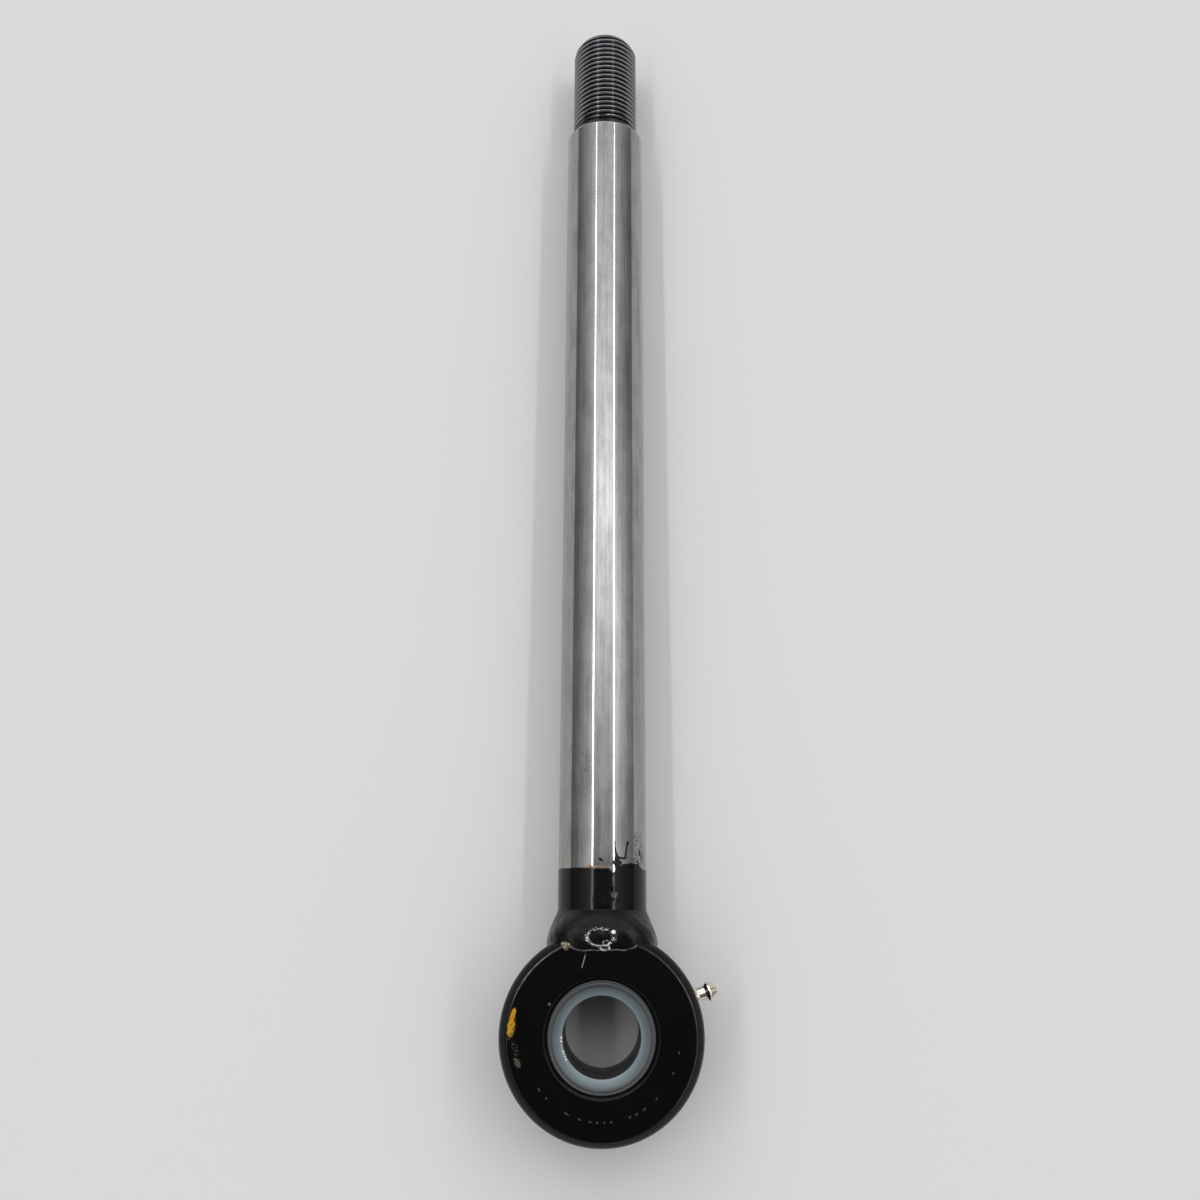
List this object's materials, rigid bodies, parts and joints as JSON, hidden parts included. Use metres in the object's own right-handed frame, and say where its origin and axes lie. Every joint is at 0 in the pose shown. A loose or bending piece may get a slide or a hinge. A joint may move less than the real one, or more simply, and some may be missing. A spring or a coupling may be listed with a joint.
{
  "type": "piston rod",
  "caption": "Hard-chromed hydraulic piston rod with a threaded end, a black-painted welded eye, a steel bush in the eye and a grease nipple in its rim.",
  "frame": {"origin": "middle of the eye's bore, on the rod's axis", "axes": "+Z along the bore, +Y along the rod from the eye to the threaded end, +X to the grease nipple's side"},
  "size_m": [0.0718, 0.4196, 0.0386],
  "materials": {
    "hard_chrome": "ground hard chrome with fine lengthwise streaks, the foot painted black",
    "black_enamel": "gloss black enamel with chips and scuffs",
    "bush_steel": "turned steel, slightly blue",
    "nickel_plate": "bright nickel plate",
    "ball_steel": "polished ball steel",
    "spring_wire": "drawn spring wire"
  },
  "bodies": {
    "rod": {"piston_rod": "hard_chrome", "rod_eye": "black_enamel", "weld_bead": "black_enamel", "eye_bush": "bush_steel", "grease_nipple": "nickel_plate", "nipple_spring": "spring_wire"},
    "check_ball": {"nipple_ball": "ball_steel"}
  },
  "joints": [
    {"name": "ball_lift", "type": "slide", "parent": "rod", "child": "check_ball", "axis": [-0.9385, -0.3453, 0], "range_m": [0, 0.0008], "stiffness_N_per_m": 300, "springref_m": -0.002, "deforming": ["nipple_spring"]}
  ]
}
